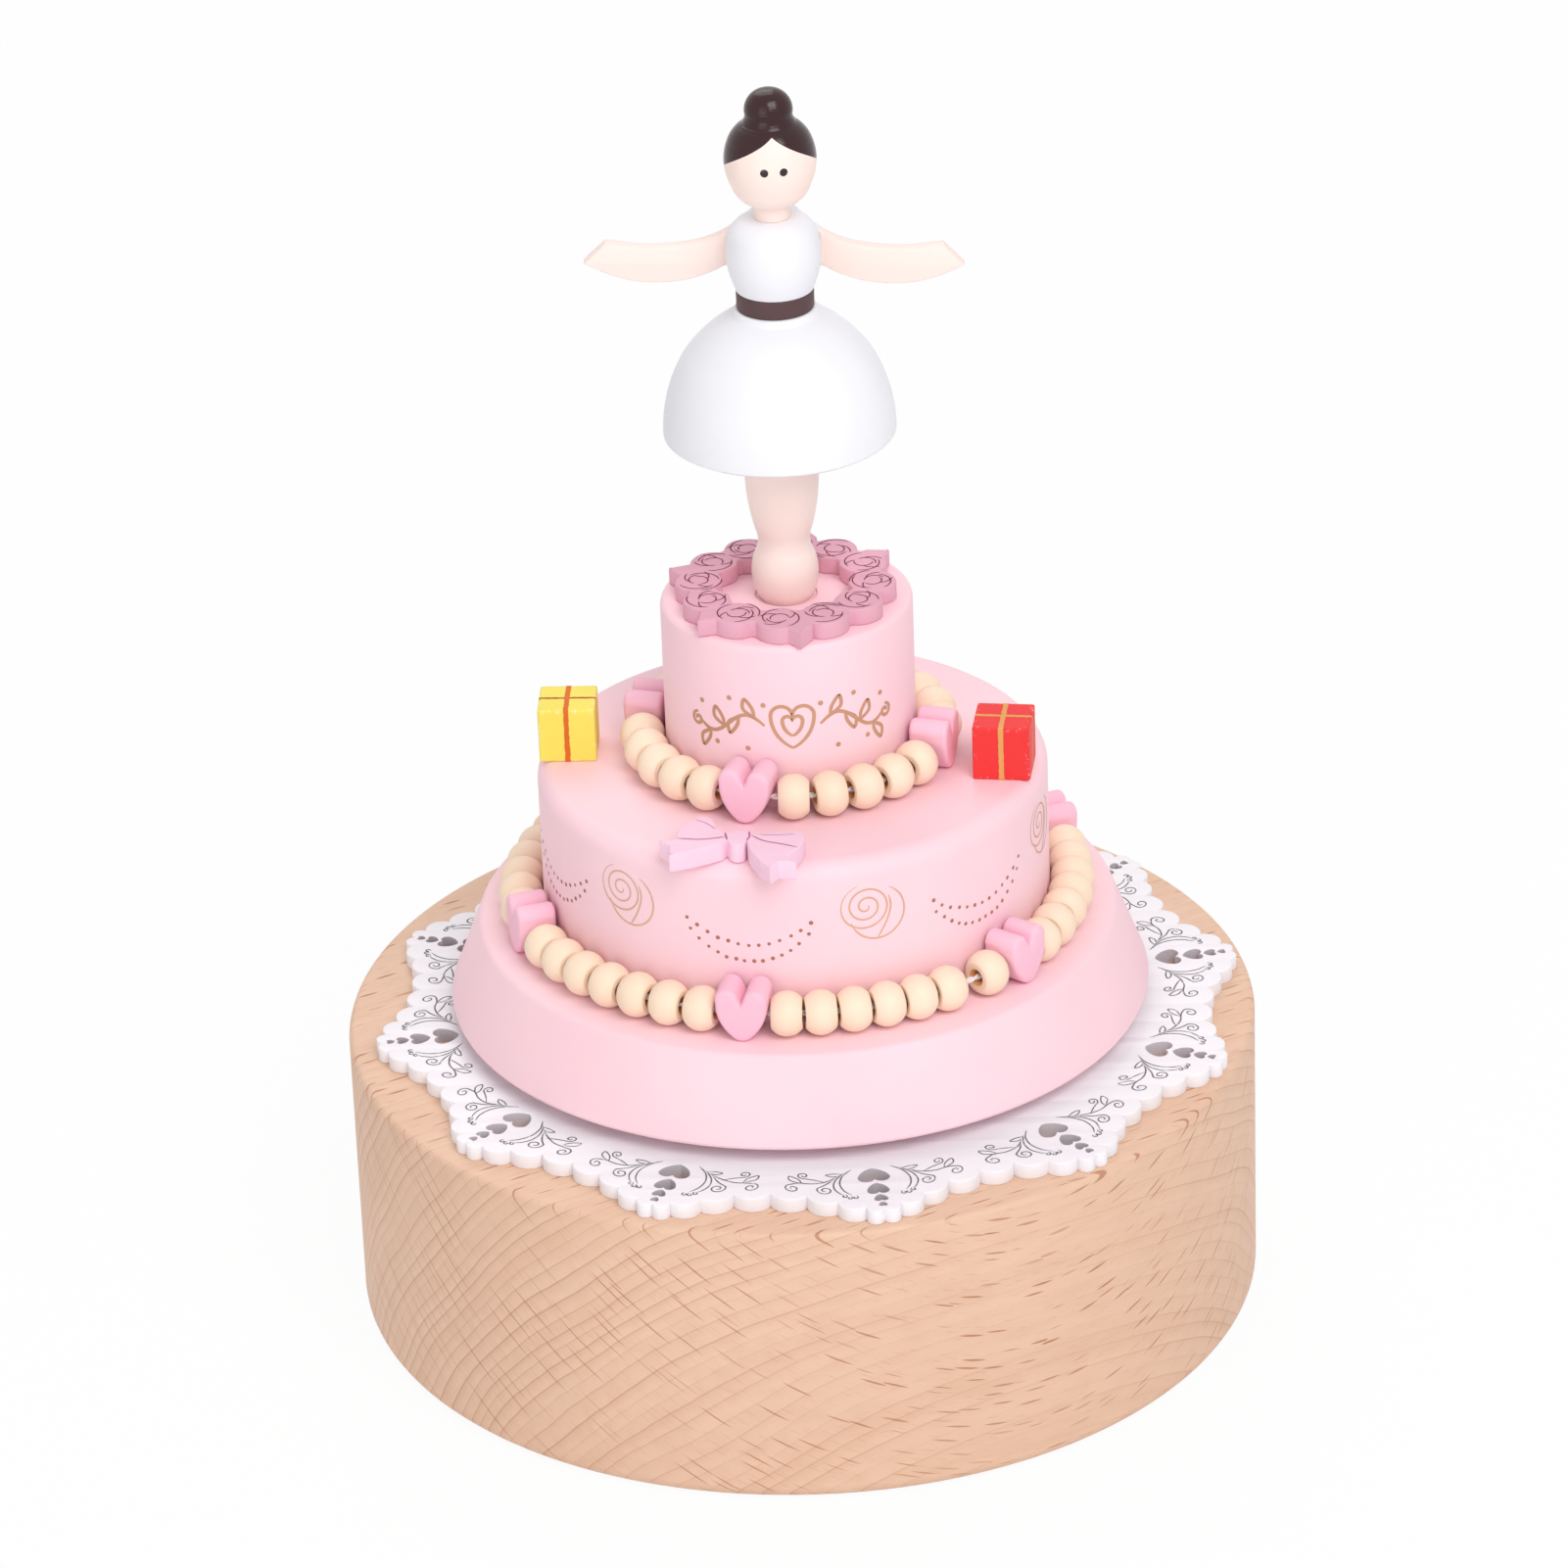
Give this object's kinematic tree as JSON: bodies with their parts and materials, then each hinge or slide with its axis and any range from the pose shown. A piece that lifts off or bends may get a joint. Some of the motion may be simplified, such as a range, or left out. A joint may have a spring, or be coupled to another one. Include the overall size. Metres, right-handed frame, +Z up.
{
  "type": "music box",
  "caption": "Wooden clockwork music box shaped like a tiered cake with bead garlands and a turned doll on a round base; the cake turns on a geared comb movement.",
  "frame": {"origin": "middle of the underside of the base, on the surface it stands on", "axes": "+Z up along the winding arbor, -Y towards the doll's face, +X to the right seen from the front"},
  "size_m": [0.12, 0.12, 0.1693],
  "materials": {
    "beech": "satin lacquered beech",
    "white_laminate": "thin white lacquered board",
    "cover_board": "plain board",
    "cake_paint": "satin pink paint on wood",
    "bead_paint": "cream lacquered wood",
    "heart_paint": "pink stained wood",
    "string": "white string",
    "bow_paint": "lavender pink paint",
    "yellow_paint": "yellow paint",
    "red_paint": "red paint",
    "rose_paint": "pink paint",
    "skin_paint": "skin coloured paint",
    "white_paint": "white paint",
    "brown_paint": "dark brown paint",
    "dowel_wood": "bare wood",
    "steel": "satin",
    "brass": "satin",
    "cast_plate": "cast, nickel plated"
  },
  "bodies": {
    "base": {"base_body": "beech", "doily": "white_laminate", "bottom_cover": "cover_board", "bottom_cover_screws": "steel", "bedplate": "cast_plate", "bedplate_screws": "steel", "arbor_bush": "brass", "spring_housing": "cast_plate", "housing_screws": "steel", "housing_cap": "cast_plate", "mainspring": "steel", "cylinder_bracket_inner": "steel", "cylinder_bracket_outer": "steel", "bracket_screws": "steel", "comb": "steel", "comb_screws": "steel", "governor_frame": "cast_plate", "governor_screws": "steel"},
    "cake": {"winding_arbor": "steel", "great_wheel": "brass", "ratchet_wheel": "steel", "click": "steel", "click_rivet": "steel", "arbor_clip": "steel", "cake_insert": "brass", "cake_tier_bottom": "cake_paint", "cake_tier_middle": "cake_paint", "cake_tier_top": "cake_paint", "tier_dowels": "dowel_wood", "tier_pin": "dowel_wood", "lower_garland_beads": "bead_paint", "lower_garland_hearts": "heart_paint", "lower_garland_cord": "string", "upper_garland_beads": "bead_paint", "upper_garland_hearts": "heart_paint", "upper_garland_cord": "string", "bow": "bow_paint", "gift_box_yellow": "yellow_paint", "gift_box_red": "red_paint", "rose_wreath": "rose_paint", "doll_legs": "skin_paint", "doll_skirt": "white_paint", "doll_belt": "brown_paint", "doll_torso": "white_paint", "doll_arms": "skin_paint", "doll_head": "skin_paint", "doll_bun": "brown_paint"},
    "cylinder": {"pinned_cylinder": "brass", "cylinder_arbor": "steel", "cylinder_pinion": "steel", "cylinder_wheel": "brass"},
    "governor": {"governor_arbor": "steel", "governor_pinion": "steel", "worm_wheel": "brass"},
    "fan": {"worm": "steel", "fan": "brass"}
  },
  "joints": [
    {"name": "cake_spin", "type": "hinge", "parent": "base", "child": "cake", "pos_m": [0, 0, 0.04], "axis": [0, 0, 1], "continuous": true},
    {"name": "cylinder_spin", "type": "hinge", "parent": "base", "child": "cylinder", "pos_m": [0.025, 0, 0.0203], "axis": [1, 0, 0], "continuous": true},
    {"name": "governor_spin", "type": "hinge", "parent": "base", "child": "governor", "pos_m": [0.036, -0.0096, 0.0203], "axis": [1, 0, 0], "continuous": true},
    {"name": "fan_spin", "type": "hinge", "parent": "base", "child": "fan", "pos_m": [0.0369, -0.0143, 0.02], "axis": [0, 0, 1], "continuous": true}
  ],
  "couplings": [
    {"joint": "cylinder_spin", "follows": "cake_spin", "ratio": 3},
    {"joint": "governor_spin", "follows": "cake_spin", "ratio": -9},
    {"joint": "fan_spin", "follows": "cake_spin", "ratio": -144}
  ]
}
